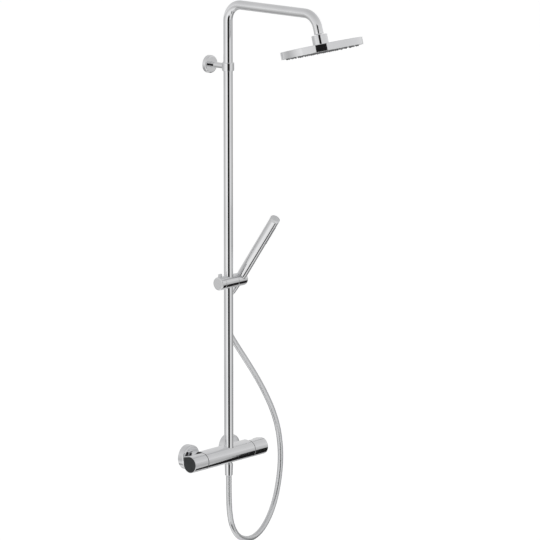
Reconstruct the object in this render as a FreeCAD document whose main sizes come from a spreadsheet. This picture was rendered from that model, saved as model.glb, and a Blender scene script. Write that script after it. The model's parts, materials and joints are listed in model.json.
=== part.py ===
import FreeCAD, Part
import math
import os
import Sketcher
from FreeCAD import Placement, Rotation, Vector

# Wall-mounted thermostatic shower column.
# Frame: origin on the finished wall, midway between the two water inlets.
# +X runs right along the wall, -Y comes out into the room, +Z is up. Millimetres.

doc = FreeCAD.newDocument("shower_column")
sheet = doc.addObject("Spreadsheet::Sheet", "Dim")

SIZES = [
    ("axis_depth", 65.0, "wall to the axis of the bar and riser"),
    ("riser_shift", 10.0, "riser and hose outlet, right of the middle of the inlets"),
    ("inlet_half", 75.0, "half the standard inlet spacing"),
    ("bar_radius", 21.0, "mixer bar and handles"),
    ("bar_half", 86.0, "half the length of the mixer body"),
    ("fairing_back", 24.0, "rear of the body behind the bar axis"),
    ("fairing_top", 22.5, "top of the body above the bar axis"),
    ("fairing_low", 16.0, "foot of the rear fairing below the bar axis"),
    ("bore_radius", 16.0, "cartridge bores"),
    ("bore_depth", 46.0, "cartridge bores"),
    ("waterway_radius", 9.0, "channel between the cartridges"),
    ("seam_gap", 0.8, "gap between body and handle"),
    ("handle_length", 47.2, "each handle"),
    ("handle_bore", 17.0, "inside radius of a handle"),
    ("lobe_reach", 27.0, "tip of the finger lobe from the bar axis"),
    ("lobe_angle", 39.0, "lobe above the horizontal, towards the wall"),
    ("lobe_full", 10.0, "length of the full lobe"),
    ("lobe_ramp", 12.0, "length over which the lobe rises"),
    ("insert_rim", 1.4, "bright rim round the handle insert"),
    ("insert_depth", 1.5, "recess for the handle insert"),
    ("thread_half", 10.48, "radius of a half inch pipe thread"),
    ("thread_three_quarter", 13.2, "radius of a three quarter inch pipe thread"),
    ("escutcheon_radius", 31.0, "wall escutcheon"),
    ("escutcheon_depth", 19.0, "wall escutcheon"),
    ("nut_flats", 30.0, "union nut across flats"),
    ("nut_length", 16.0, "union nut"),
    ("tube_radius", 11.5, "riser and arm tube"),
    ("tube_bore", 10.0, "inside of riser and arm tube"),
    ("arm_height", 1127.0, "axis of the arm above the bar axis"),
    ("arm_reach", 279.0, "riser axis to the corner over the head"),
    ("bend_radius", 42.0, "centreline of both bends"),
    ("drop_angle", 15.0, "head axis from the vertical"),
    ("drop_length", 48.0, "corner to the end of the tube"),
    ("joint_height", 970.0, "where riser and arm tubes meet"),
    ("bracket_height", 972.0, "wall bracket above the bar axis"),
    ("flange_radius", 22.0, "bracket flange"),
    ("flange_depth", 12.0, "bracket flange"),
    ("post_radius", 7.0, "bracket post"),
    ("ring_radius", 15.0, "bracket ring"),
    ("ring_length", 20.0, "bracket ring"),
    ("slider_height", 437.0, "slider axis above the bar axis"),
    ("slider_radius", 16.5, "slider, knob and holder"),
    ("holder_shift", 40.0, "handset axis, right of the riser axis"),
    ("lean_angle", 35.3, "handset from the vertical"),
    ("handset_radius", 12.5, "stick handset"),
    ("handset_top", 200.0, "top of the handset tube along its axis"),
    ("nut_top_radius", 11.9, "cone nut of the hose, upper end"),
    ("nut_end_radius", 8.3, "cone nut of the hose, lower end"),
    ("nut_drop", 42.0, "cone nut below the slider axis"),
    ("hose_radius", 7.0, "hose"),
    ("outlet_nut_radius", 10.4, "hose nut under the bar"),
    ("outlet_nut_length", 30.0, "hose nut under the bar"),
    ("head_radius", 100.0, "rain head"),
    ("head_thickness", 18.0, "rain head"),
    ("head_start", 73.5, "top of the head below the arm corner, along its axis"),
    ("ball_radius", 12.0, "ball stud"),
    ("ball_centre", 62.0, "ball below the arm corner, along its axis"),
    ("collar_radius", 19.2, "ball nut"),
    ("nozzle_radius", 1.55, "rubber nozzle"),
    ("nozzle_pitch", 15.0, "between the rings of nozzles"),
]
for row, (alias, number, note) in enumerate(SIZES, 1):
    sheet.set("A%d" % row, note)
    sheet.set("B%d" % row, str(number))
    sheet.setAlias("B%d" % row, alias)
doc.recompute()


class Size:
    """A length that knows both its sheet expression and its present value."""

    def __init__(self, text, value):
        self.text, self.value = text, float(value)

    def join(self, other, sign, value, turned=False):
        other = size(other)
        a, b = (other, self) if turned else (self, other)
        return Size("(%s %s %s)" % (a.text, sign, b.text), value(a.value, b.value))

    def __add__(self, other):
        return self.join(other, "+", lambda a, b: a + b)

    __radd__ = __add__

    def __sub__(self, other):
        return self.join(other, "-", lambda a, b: a - b)

    def __rsub__(self, other):
        return self.join(other, "-", lambda a, b: a - b, True)

    def __mul__(self, other):
        return self.join(other, "*", lambda a, b: a * b)

    __rmul__ = __mul__

    def __truediv__(self, other):
        return self.join(other, "/", lambda a, b: a / b)

    def __neg__(self):
        return Size("(0 - %s)" % self.text, -self.value)


def size(x):
    return x if isinstance(x, Size) else Size("(%.6f)" % x if x < 0 else "%.6f" % x, x)


D = {alias: Size("Dim." + alias, float(getattr(sheet, alias))) for alias, _, _ in SIZES}

UP = Rotation()
OUT = Rotation(Vector(1, 0, 0), 90)
RIGHT = Rotation(Vector(0, 1, 0), 90)
LEFT = Rotation(Vector(0, 1, 0), -90)
DOWN = Rotation(Vector(1, 0, 0), 180)
LEAN = Rotation(Vector(1, 0, 0), D["lean_angle"].value)
HEAD = Rotation(Vector(1, 0, 0), 180 - D["drop_angle"].value)

RISER_X = D["riser_shift"]
AXIS_Y = -D["axis_depth"]
STICK = (RISER_X + D["holder_shift"], AXIS_Y, D["slider_height"])
CORNER = (RISER_X, AXIS_Y - D["arm_reach"], D["arm_height"])

nodes = {}
made = []


def bind(obj, prop, q):
    obj.setExpression(prop, size(q).text)


def put(obj, at, turn=UP):
    """Place obj with its base bound to the sheet."""
    at = [size(q) for q in at]
    obj.Placement = Placement(Vector(*[q.value for q in at]), turn)
    for name, q in zip("xyz", at):
        bind(obj, "Placement.Base." + name, q)
    return obj


def node(obj, label):
    obj.Label = label
    nodes[label] = obj
    return obj


def plane(body, role):
    return [f for f in body.Origin.OriginFeatures if f.Role == role][0]


def sketch_on(body, name, role="XY_Plane", lift=None):
    s = body.newObject("Sketcher::SketchObject", name)
    s.AttachmentSupport = [(plane(body, role), "")]
    s.MapMode = "FlatFace"
    if lift is not None:
        s.AttachmentOffset = Placement(Vector(0, 0, size(lift).value), UP)
        bind(s, "AttachmentOffset.Base.z", lift)
    return s


def pin_point(s, line, end, x, y):
    """Hold one end of a sketch line at x, y."""
    x, y = size(x), size(y)
    if abs(x.value) < 1e-9 and abs(y.value) < 1e-9:
        s.addConstraint(Sketcher.Constraint("Coincident", line, end, -1, 1))
        return
    for word, q, axis in (("DistanceX", x, -2), ("DistanceY", y, -1)):
        if abs(q.value) < 1e-9:
            s.addConstraint(Sketcher.Constraint("PointOnObject", line, end, axis))
        else:
            k = s.addConstraint(Sketcher.Constraint(word, -1, 1, line, end, q.value))
            bind(s, "Constraints[%d]" % k, q)


def polygon(s, points):
    """A closed outline of straight lines, each corner bound to the sheet."""
    p = [(size(x), size(y)) for x, y in points]
    n = len(p)
    first = s.GeometryCount
    for i in range(n):
        a, b = p[i], p[(i + 1) % n]
        s.addGeometry(
            Part.LineSegment(
                Vector(a[0].value, a[1].value, 0), Vector(b[0].value, b[1].value, 0)
            ),
            False,
        )
    for i in range(n):
        s.addConstraint(
            Sketcher.Constraint(
                "Coincident", first + i, 2, first + (i + 1) % n, 1
            )
        )
    for i in range(n):
        pin_point(s, first + i, 1, *p[i])


def circle(s, radius, x=0, y=0):
    radius, x, y = size(radius), size(x), size(y)
    i = s.addGeometry(
        Part.Circle(Vector(x.value, y.value, 0), Vector(0, 0, 1), radius.value), False
    )
    pin_point(s, i, 3, x, y)
    k = s.addConstraint(Sketcher.Constraint("Radius", i, radius.value))
    bind(s, "Constraints[%d]" % k, radius)


def body_named(name):
    return doc.addObject("PartDesign::Body", name)


def pad(body, s, length, name="pad", middle=False, back=False):
    f = body.newObject("PartDesign::Pad", name)
    f.Profile = s
    f.Length = size(length).value
    bind(f, "Length", length)
    if middle:
        f.SideType = "Symmetric"
    f.Reversed = back
    return f


def turned(name, profile, at, turn=UP):
    """A turned piece: profile is (radius, height) corners, spun about local Z."""
    b = body_named(name)
    s = sketch_on(b, name + "_profile", "XZ_Plane")
    polygon(s, profile)
    f = b.newObject("PartDesign::Revolution", name + "_turned")
    f.Profile = s
    f.ReferenceAxis = (s, ["V_Axis"])
    f.Angle = 360
    put(b, at, turn)
    return b


def edge_names(shape, test):
    return ["Edge%d" % (i + 1) for i, e in enumerate(shape.Edges) if test(e)]


def rim(radius, height):
    """Finds the circular edge of a turned piece at this radius and height."""

    def test(e):
        c = e.Curve
        return (
            isinstance(c, Part.Circle)
            and abs(c.Radius - size(radius).value) < 0.01
            and abs(e.BoundBox.ZMin - size(height).value) < 0.01
            and abs(e.BoundBox.ZMax - size(height).value) < 0.01
        )

    return test


def soften(body, test, radius, kind="Fillet"):
    """Rounds or bevels the edges of the body's last feature that test finds."""
    doc.recompute()
    base = body.Tip
    names = edge_names(base.Shape, test)
    if not names:
        raise ValueError("no edge to soften on " + body.Name)
    f = body.newObject("PartDesign::" + kind, "%s_%s" % (body.Name, kind.lower()))
    f.Base = (base, names)
    prop = "Radius" if kind == "Fillet" else "Size"
    setattr(f, prop, size(radius).value)
    bind(f, prop, radius)
    return f


def cyl(name, radius, height, at, turn=UP):
    o = doc.addObject("Part::Cylinder", name)
    bind(o, "Radius", radius)
    bind(o, "Height", height)
    return put(o, at, turn)


def box(name, dx, dy, dz, at, turn=UP):
    o = doc.addObject("Part::Box", name)
    bind(o, "Length", dx)
    bind(o, "Width", dy)
    bind(o, "Height", dz)
    return put(o, at, turn)


def ball(name, radius, at):
    o = doc.addObject("Part::Sphere", name)
    bind(o, "Radius", radius)
    return put(o, at)


def cut(name, base, tools):
    tool = tools[0] if len(tools) == 1 else fuse(name + "_tools", tools)
    o = doc.addObject("Part::Cut", name)
    o.Base, o.Tool = base, tool
    return o


def fuse(name, shapes):
    o = doc.addObject("Part::MultiFuse", name)
    o.Shapes = shapes
    o.Refine = True
    return o


def common(name, a, b):
    o = doc.addObject("Part::Common", name)
    o.Base, o.Tool = a, b
    return o


def compound(name, shapes):
    o = doc.addObject("Part::Compound", name)
    o.Links = shapes
    return o


def along(point, turn, distance):
    """point moved by distance along the turned Z axis, still bound to the sheet."""
    axis = turn.multVec(Vector(0, 0, 1))
    return tuple(
        p if abs(a) < 1e-9 else p + size(distance) * a
        for p, a in zip([size(q) for q in point], axis)
    )


# ---------------------------------------------------------------- mixer body
# A round bar whose rear top edge is drawn out into a fairing that carries the
# inlet spigots. The section is drawn in the YZ plane: sketch x is depth, sketch
# y is height.
block = body_named("mixer_block")
s = sketch_on(block, "bar_section", "YZ_Plane")
circle(s, D["bar_radius"])
pad(block, s, D["bar_half"] * 2, "bar", middle=True)
s = sketch_on(block, "fairing_section", "YZ_Plane")
back, top, low = D["fairing_back"], D["fairing_top"], D["fairing_low"]
polygon(
    s,
    [
        (-3.6, D["bar_radius"] - 0.35),
        (9.0, top),
        (back, top),
        (back, -low),
        (2.0, -low),
        (-3.6, 0),
    ],
)
pad(block, s, D["bar_half"] * 2, "fairing", middle=True)
put(block, (0, AXIS_Y, 0))


def long_edge(y, z):
    def test(e):
        b = e.BoundBox
        return (
            b.XLength > 100
            and abs(b.YMin - y) < 0.01
            and abs(b.YMax - y) < 0.01
            and abs(b.ZMin - z) < 0.01
            and abs(b.ZMax - z) < 0.01
        )

    return test


soften(block, long_edge(back.value, top.value), 13.0)
soften(block, long_edge(back.value, -low.value), 6.0)


def end_rim(e):
    """The outline of either end face of the bar."""
    b = e.BoundBox
    return b.XLength < 0.01 and abs(abs(b.XMin) - D["bar_half"].value) < 0.01


soften(block, end_rim, 0.5, "Chamfer")

rear = AXIS_Y + back
spigots = []
for side, sign in (("left", -1), ("right", 1)):
    x = D["inlet_half"] * sign
    spigots.append(cyl("spigot_" + side, 11.4, 12.0, (x, AXIS_Y + 30.8, 0), OUT))
    spigots.append(cyl("spigot_flange_" + side, 12.9, 2.2, (x, AXIS_Y + 33.0, 0), OUT))
solid_body = fuse("mixer_solid", [block] + spigots)
voids = [
    cyl("bore_right", D["bore_radius"], D["bore_depth"] + 1, (D["bar_half"] - D["bore_depth"], AXIS_Y, 0), RIGHT),
    cyl("bore_left", D["bore_radius"], D["bore_depth"] + 1, (D["bore_depth"] - D["bar_half"], AXIS_Y, 0), LEFT),
    cyl("waterway", D["waterway_radius"], D["bar_half"] * 2, (-D["bar_half"], AXIS_Y, 0), RIGHT),
    cyl("riser_socket", D["tube_radius"] + 0.05, 30.0, (RISER_X, AXIS_Y, 8.0)),
    cyl("riser_port", 8.0, 12.0, (RISER_X, AXIS_Y, 0)),
    cyl("outlet_thread", 8.4, 14.0, (RISER_X, AXIS_Y, -10.5), DOWN),
    cyl("outlet_port", 5.0, 12.0, (RISER_X, AXIS_Y, 0), DOWN),
    cyl("set_screw_hole", 2.1, 20.0, (RISER_X, AXIS_Y + 26.0, 15.0), OUT),
    cyl("inlet_port_left", 7.0, 34.0, (-D["inlet_half"], AXIS_Y + 34.0, 0), OUT),
    cyl("inlet_port_right", 7.0, 34.0, (D["inlet_half"], AXIS_Y + 34.0, 0), OUT),
]
node(cut("mixer", solid_body, voids), "mixer_body")

# ------------------------------------------------------- wall connections
valves, seals = [], []
for side, sign in (("left", -1), ("right", 1)):
    x = D["inlet_half"] * sign
    start = (x, 14.0, 0)
    t34 = D["thread_three_quarter"]
    node(
        turned(
            "union_pipe_" + side,
            [(6, 0), (D["thread_half"], 0), (D["thread_half"], 14), (12, 14), (12, 34), (t34, 34), (t34, 44), (7.6, 44), (7.6, 28), (6, 28)],
            start,
            OUT,
        ),
        "s_union_" + side,
    )
    valves.append(turned("valve_" + side, [(3, 34.5), (7.4, 34.5), (7.4, 43), (3, 43)], start, OUT))
    seals.append(turned("seal_" + side, [(7.5, 44), (12.4, 44), (12.4, 46), (7.5, 46)], start, OUT))
    er, ed = D["escutcheon_radius"], D["escutcheon_depth"]
    b = turned(
        "rosette_" + side,
        [(er - 1.4, 0), (er, 0), (er, ed), (12.6, ed), (12.6, ed - 1.6), (er - 5.5, ed - 1.6), (er - 1.4, ed - 5.5)],
        (x, 0, 0),
        OUT,
    )
    soften(b, rim(er, ed), 5.0)
    node(b, "escutcheon_" + side)
    b = body_named("hex_nut_" + side)
    s = sketch_on(b, "hexagon_" + side)
    corner = D["nut_flats"] / math.sqrt(3)
    polygon(s, [(corner * math.cos(math.radians(60 * i)), corner * math.sin(math.radians(60 * i))) for i in range(6)])
    pad(b, s, D["nut_length"], "hexagon_pad_" + side)
    put(b, (x, -21.5, 0), OUT)
    node(
        cut(
            "hex_nut_bored_" + side,
            b,
            [
                cyl("nut_thread_" + side, t34 + 0.1, 14.0, (x, -21.5, 0), OUT),
                cyl("nut_lip_" + side, 11.6, 20.0, (x, -21.5, 0), OUT),
            ],
        ),
        "union_nut_" + side,
    )
node(compound("valves", valves), "check_valves")
node(compound("seals", seals), "inlet_seals")

# -------------------------------------------------- cartridges and handles
rings = []
for kind, sign, turn, nose in (("temperature", -1, LEFT, 11.0), ("diverter", 1, RIGHT, 9.0)):
    start = ((D["bar_half"] - 44) * sign, AXIS_Y, 0)
    housing = turned(
        kind + "_housing",
        [(0, 0), (nose, 0), (nose, 5), (15.6, 5), (15.6, 36), (8.5, 36), (8.5, 46), (4.4, 46), (4.4, 40), (0, 40)],
        start,
        turn,
    )
    node(housing, "thermostatic_cartridge" if sign < 0 else "diverter_cartridge")
    rings.append(turned(kind + "_ring", [(8.7, 36.2), (15.8, 36.2), (15.8, 49), (8.7, 49)], start, turn))
    node(
        turned(kind + "_stem", [(0, 40.4), (4.0, 40.4), (4.0, 66), (2.1, 66), (2.1, 56), (0, 56)], start, turn),
        kind + "_spindle",
    )
    base = ((D["bar_half"] + D["seam_gap"]) * sign, AXIS_Y, 0)
    hl, hr, hb = D["handle_length"], D["bar_radius"], D["handle_bore"]
    grip = turned(
        kind + "_grip",
        [(hb, 0), (hr, 0), (hr, hl), (4.5, hl), (4.5, 36), (2.2, 36), (2.2, 26), (4.05, 26), (4.05, 9), (8, 9), (8, 33), (hb, 33)],
        base,
        turn,
    )
    # finger lobe: a tangent corner beside the round section, rising from the
    # round part of the handle. Local x is up on the left and down on the right.
    up = -sign
    angle = math.radians(D["lobe_angle"].value)
    half = math.acos(D["bar_radius"].value / D["lobe_reach"].value)

    def ray(radius, a):
        # a is measured from the rear horizontal towards the top
        return (size(radius) * (up * math.sin(a)), size(radius) * math.cos(a))

    def lobe(radius, reach, spread):
        pts = [ray(radius, angle - spread), ray(reach, angle), ray(radius, angle + spread)]
        return pts if up > 0 else pts[::-1]

    low_s = sketch_on(grip, kind + "_lobe_root", "XY_Plane", hl - D["lobe_full"] - D["lobe_ramp"])
    polygon(low_s, lobe(hr - 1.2, hr - 0.6, half * 0.9))
    high_s = sketch_on(grip, kind + "_lobe_tip", "XY_Plane", hl - D["lobe_full"])
    polygon(high_s, lobe(hr, D["lobe_reach"], half))
    f = grip.newObject("PartDesign::AdditiveLoft", kind + "_lobe_rise")
    f.Profile = low_s
    f.Sections = [high_s]
    f.Ruled = True
    pad(grip, high_s, D["lobe_full"], kind + "_lobe_end")
    doc.recompute()

    def outline(s, shrink):
        """The rounded leaf of the end face, drawn in by shrink."""
        r = hr - shrink
        k = r.value / hr.value
        tip = D["lobe_reach"] * k
        a0, a1 = angle - half, angle + half
        p0 = (r.value * up * math.sin(a0), r.value * math.cos(a0))
        p1 = (r.value * up * math.sin(a1), r.value * math.cos(a1))
        pt = (tip.value * up * math.sin(angle), tip.value * math.cos(angle))
        th = [math.atan2(p[1], p[0]) for p in (p0, p1)]
        # the long way round, away from the tip
        lo, hi = (th[0], th[1]) if up < 0 else (th[1], th[0])
        while hi < lo:
            hi += 2 * math.pi
        mid = math.atan2(pt[1], pt[0])
        while mid < lo:
            mid += 2 * math.pi
        if mid < hi:
            lo, hi = hi, lo + 2 * math.pi
        arc = s.addGeometry(Part.ArcOfCircle(Part.Circle(Vector(0, 0, 0), Vector(0, 0, 1), r.value), lo, hi), False)
        pa = Vector(r.value * math.cos(lo), r.value * math.sin(lo), 0)
        pb = Vector(r.value * math.cos(hi), r.value * math.sin(hi), 0)
        tipv = Vector(pt[0], pt[1], 0)
        l1 = s.addGeometry(Part.LineSegment(pb, tipv), False)
        l2 = s.addGeometry(Part.LineSegment(tipv, pa), False)
        s.addConstraint(Sketcher.Constraint("Coincident", arc, 3, -1, 1))
        s.addConstraint(Sketcher.Constraint("Tangent", arc, 2, l1, 1))
        s.addConstraint(Sketcher.Constraint("Coincident", l1, 2, l2, 1))
        s.addConstraint(Sketcher.Constraint("Tangent", l2, 2, arc, 1))
        k1 = s.addConstraint(Sketcher.Constraint("Radius", arc, r.value))
        bind(s, "Constraints[%d]" % k1, r)
        pin_point(s, l1, 2, tip * (up * math.sin(angle)), tip * math.cos(angle))

    rs = sketch_on(grip, kind + "_recess_outline", "XY_Plane", hl)
    outline(rs, D["insert_rim"])
    f = grip.newObject("PartDesign::Pocket", kind + "_recess")
    f.Profile = rs
    f.Length = D["insert_depth"].value
    bind(f, "Length", D["insert_depth"])
    node(grip, kind + "_handle")
    badge = body_named(kind + "_badge")
    bs = sketch_on(badge, kind + "_badge_outline", "XY_Plane", hl - D["insert_depth"])
    outline(bs, D["insert_rim"] + 0.05)
    pad(badge, bs, D["insert_depth"] - 0.1, kind + "_badge_pad")
    put(badge, base, turn)
    node(badge, kind + "_insert")
    node(
        turned(kind + "_bolt", [(0, 12), (2.0, 12), (2.0, 36), (4.2, 36), (4.2, 39.5), (0, 39.5)], base, turn),
        kind + "_screw",
    )
node(compound("rings", rings), "cartridge_nuts")

# --------------------------------------------------------- riser and bracket
tr, tb = D["tube_radius"], D["tube_bore"]
riser_base = (RISER_X, AXIS_Y, 0)
node(
    turned("riser", [(tb, 10.3), (tr, 10.3), (tr, D["joint_height"]), (tb, D["joint_height"])], riser_base),
    "riser_tube",
)
node(turned("foot_seal", [(8.4, 8.1), (11.4, 8.1), (11.4, 10.2), (8.4, 10.2)], riser_base), "riser_seal")
node(cyl("foot_screw", 2.0, 11.7, (RISER_X, AXIS_Y + 23.5, 15.0), OUT), "riser_set_screw")
cz = D["joint_height"] - 20
node(
    turned(
        "coupler",
        [(8.2, 0), (9.9, 0), (9.9, 8), (8.8, 8), (8.8, 10.4), (9.9, 10.4), (9.9, 29.6), (8.8, 29.6), (8.8, 32), (9.9, 32), (9.9, 40), (8.2, 40)],
        (RISER_X, AXIS_Y, cz),
    ),
    "tube_coupler",
)
node(
    compound(
        "orings",
        [
            turned("oring_low", [(8.85, 8.2), (9.95, 8.2), (9.95, 10.2), (8.85, 10.2)], (RISER_X, AXIS_Y, cz)),
            turned("oring_high", [(8.85, 29.8), (9.95, 29.8), (9.95, 31.8), (8.85, 31.8)], (RISER_X, AXIS_Y, cz)),
        ],
    ),
    "coupler_orings",
)

# arm: one bent tube, drawn in the YZ plane from the tube joint
arm = body_named("arm")
rise = D["arm_height"] - D["joint_height"] - 0.1
reach, bend = D["arm_reach"].value, D["bend_radius"].value
drop = math.radians(D["drop_angle"].value)
path = sketch_on(arm, "arm_path", "YZ_Plane")
h0 = rise.value
tan2 = bend * math.tan((math.pi / 2 - drop) / 2)
down = Vector(-math.sin(drop), -math.cos(drop), 0)
corner2 = Vector(-reach, h0, 0)
a_end = corner2 + down * tan2
end = corner2 + down * D["drop_length"].value
c1 = Vector(-bend, h0 - bend, 0)
c2 = Vector(-reach + tan2, h0 - bend, 0)
l1 = path.addGeometry(Part.LineSegment(Vector(0, 0, 0), Vector(0, h0 - bend, 0)), False)
g1 = path.addGeometry(Part.ArcOfCircle(Part.Circle(c1, Vector(0, 0, 1), bend), 0, math.pi / 2), False)
l2 = path.addGeometry(Part.LineSegment(Vector(-bend, h0, 0), Vector(-reach + tan2, h0, 0)), False)
g2 = path.addGeometry(
    Part.ArcOfCircle(Part.Circle(c2, Vector(0, 0, 1), bend), math.pi / 2, math.pi - drop), False
)
l3 = path.addGeometry(Part.LineSegment(a_end, end), False)
C = Sketcher.Constraint
path.addConstraint(C("Coincident", l1, 1, -1, 1))
path.addConstraint(C("Vertical", l1))
path.addConstraint(C("Tangent", l1, 2, g1, 1))
path.addConstraint(C("Tangent", g1, 2, l2, 1))
path.addConstraint(C("Horizontal", l2))
path.addConstraint(C("Tangent", l2, 2, g2, 1))
path.addConstraint(C("Tangent", g2, 2, l3, 1))
k = path.addConstraint(C("Radius", g1, bend))
bind(path, "Constraints[%d]" % k, D["bend_radius"])
k = path.addConstraint(C("Radius", g2, bend))
bind(path, "Constraints[%d]" % k, D["bend_radius"])
k = path.addConstraint(C("DistanceY", -1, 1, l2, 1, h0))
bind(path, "Constraints[%d]" % k, rise)
pin_point(path, l3, 2, -D["arm_reach"] - D["drop_length"] * math.sin(drop), rise - D["drop_length"] * math.cos(drop))
section = sketch_on(arm, "arm_section")
circle(section, tr)
circle(section, tb)
sweep = arm.newObject("PartDesign::AdditivePipe", "arm_sweep")
sweep.Profile = section
sweep.Spine = (path, ["Edge%d" % (i + 1) for i in range(5)])
put(arm, (RISER_X, AXIS_Y, D["joint_height"] + 0.1))
node(arm, "arm_tube")

bracket = (RISER_X, 0, D["bracket_height"])
fr, fd, pr = D["flange_radius"], D["flange_depth"], D["post_radius"]
plate = turned("wall_disc", [(0, 0), (18, 0), (18, 4), (4, 4), (4, 11), (0, 11)], bracket, OUT)
node(
    cut(
        "wall_disc_drilled",
        plate,
        [
            cyl("screw_hole_left", 2.6, 6.0, (RISER_X - 11, 1.0, D["bracket_height"]), OUT),
            cyl("screw_hole_right", 2.6, 6.0, (RISER_X + 11, 1.0, D["bracket_height"]), OUT),
        ],
    ),
    "bracket_wall_plate",
)
b = turned(
    "flange",
    [(fr - 1.4, 0), (fr, 0), (fr, fd), (pr + 0.1, fd), (pr + 0.1, fd - 1.6), (fr - 3.9, fd - 1.6), (fr - 1.4, fd - 4.1)],
    bracket,
    OUT,
)
soften(b, rim(fr, fd), 3.5)
node(
    cut("flange_drilled", b, [cyl("grub_hole", 1.6, 12.0, (RISER_X, -5.85, D["bracket_height"] - 14), DOWN)]),
    "bracket_flange",
)
post = turned("post", [(4.1, 4.2), (pr, 4.2), (pr, 56), (0, 56), (0, 12), (4.1, 12)], bracket, OUT)
ring_at = (RISER_X, AXIS_Y, D["bracket_height"] - D["ring_length"] / 2)
node(
    cut("post_fitted", post, [cyl("post_saddle", D["ring_radius"] + 0.02, 30.0, (RISER_X, AXIS_Y, D["bracket_height"] - 15))]),
    "bracket_post",
)
b = turned(
    "ring",
    [(tr + 0.08, 0), (D["ring_radius"], 0), (D["ring_radius"], D["ring_length"]), (tr + 0.08, D["ring_length"])],
    ring_at,
)
soften(b, lambda e: rim(D["ring_radius"], 0)(e) or rim(D["ring_radius"], D["ring_length"])(e), 0.8)
node(b, "bracket_ring")
node(cyl("grub", 1.5, 14.0, (RISER_X, -5.85, D["bracket_height"] - 7.2), DOWN), "bracket_grub_screw")

# ---------------------------------------------------------------- slider
sz, sr = D["slider_height"], D["slider_radius"]
at_slider = (RISER_X, AXIS_Y, sz)


def slider_at(shift):
    return (RISER_X + shift, AXIS_Y, sz)


node(
    turned("bush", [(tr + 0.08, 0), (13.0, 0), (13.0, 19), (tr + 0.08, 19)], (RISER_X, AXIS_Y, sz - 9.5)),
    "slider_bush",
)
carrier = cyl("carrier", sr, 45.7, slider_at(-24.2), RIGHT)
node(
    cut(
        "carrier_bored",
        carrier,
        [
            cyl("carrier_bore", tr + 0.4, 50.0, (RISER_X, AXIS_Y, sz - 25)),
            cyl("bush_seat", 13.1, 19.4, (RISER_X, AXIS_Y, sz - 9.7)),
            cyl("pad_bore", 4.1, 14.0, slider_at(-25.0), RIGHT),
            cyl("pivot_bore", 4.55, 10.0, slider_at(13.8), RIGHT),
            cut(
                "friction_seat",
                cyl("friction_seat_outer", 12.1, 3.0, slider_at(19.5), RIGHT),
                [cyl("friction_seat_inner", 6.9, 3.0, slider_at(19.5), RIGHT)],
            ),
        ],
    ),
    "slider_body",
)
node(
    cut(
        "pad_fitted",
        cyl("pad_blank", 4.0, 4.5, slider_at(-16.0), RIGHT),
        [cyl("pad_hollow", 13.3, 12.0, (RISER_X, AXIS_Y, sz - 6))],
    ),
    "brake_pad",
)
node(turned("knob_stem", [(0, 0), (4.0, 0), (4.0, 14.6), (0, 14.6)], slider_at(-31.0), RIGHT), "knob_spindle")
knob = turned("knob_disc", [(4.05, 0), (sr, 0), (sr, 14.4), (0, 14.4), (0, 6.6), (4.05, 6.6)], slider_at(-24.6), LEFT)
soften(knob, rim(sr, 14.4), 3.0)
tab = box("knob_tab", 11.0, 4.4, 10.0, (RISER_X - 36.6, AXIS_Y - 2.2, sz + 14.0))
tab_soft = doc.addObject("Part::Fillet", "knob_tab_soft")
tab_soft.Base = tab
doc.recompute()
tab_soft.Edges = [
    (i + 1, 1.6, 1.6)
    for i, e in enumerate(tab.Shape.Edges)
    if abs(e.BoundBox.ZMin - (sz.value + 24)) < 0.01 and e.BoundBox.ZLength < 0.01
]
node(fuse("knob_with_tab", [knob, tab_soft]), "slider_knob")
node(cyl("pivot", 4.5, 12.6, slider_at(14.0), RIGHT), "holder_pivot")
node(turned("friction", [(7.0, 0), (12.0, 0), (12.0, 2.2), (7.0, 2.2)], slider_at(19.6), RIGHT), "friction_ring")

# holder: its cone takes the hose nut, and a slot at its right end lets the hose out
top_r, end_r, nd = D["nut_top_radius"], D["nut_end_radius"], D["nut_drop"]
cone_length = nd + 16.9
taper = (top_r - end_r) / cone_length
shell = turned("holder_drum", [(0, 0), (sr, 0), (sr, 33.5), (0, 33.5)], slider_at(22.0), RIGHT)
soften(shell, rim(sr, 33.5), 3.0)
soften(shell, rim(sr, 0), 0.3, "Chamfer")
seat = turned(
    "holder_cone",
    [(0, -30), (end_r + taper * 12 + 0.12, -30), (end_r + taper * 72 + 0.12, 30), (0, 30)],
    STICK,
    LEAN,
)
slot = box("holder_slot", 24.0, 15.6, 60.0, (0, 0, 0), LEAN)
across = LEAN.multVec(Vector(0, 1, 0))
lift = LEAN.multVec(Vector(0, 0, 1))
offset = across * -7.8 + lift * -30
put(slot, (STICK[0], STICK[1] + offset.y, STICK[2] + offset.z), LEAN)
node(
    cut("holder_cut", shell, [seat, slot, cyl("holder_pivot_bore", 4.6, 5.2, slider_at(21.9), RIGHT)]),
    "handset_holder",
)

# ---------------------------------------------------------------- handset
hs, ht = D["handset_radius"], D["handset_top"]
stick = turned("stick", [(6.5, 17.2), (hs, 17.2), (hs, ht), (hs - 1.9, ht), (hs - 1.9, 31), (6.5, 31)], STICK, LEAN)
soften(stick, rim(hs, 17.2), 1.5)
window_at = along(STICK, LEAN, 126)
w0 = across * -14
window = box("spray_window", 9.0, 6.0, 62.0, (0, 0, 0), LEAN)
put(window, (window_at[0] - 4.5, window_at[1] + w0.y, window_at[2] + w0.z), LEAN)
node(cut("stick_open", stick, [window]), "handset_body")
strip = turned("strip_ring", [(hs - 1.7, 126), (hs + 0.15, 126), (hs + 0.15, 188), (hs - 1.7, 188)], STICK, LEAN)
w1 = across * -13.9
window2 = box("strip_window", 8.8, 6.0, 61.8, (0, 0, 0), LEAN)
put(window2, (window_at[0] - 4.4, window_at[1] + w1.y + lift.y * 0.1, window_at[2] + w1.z + lift.z * 0.1), LEAN)
node(common("strip", strip, window2), "handset_spray_plate")
dots = []
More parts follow.
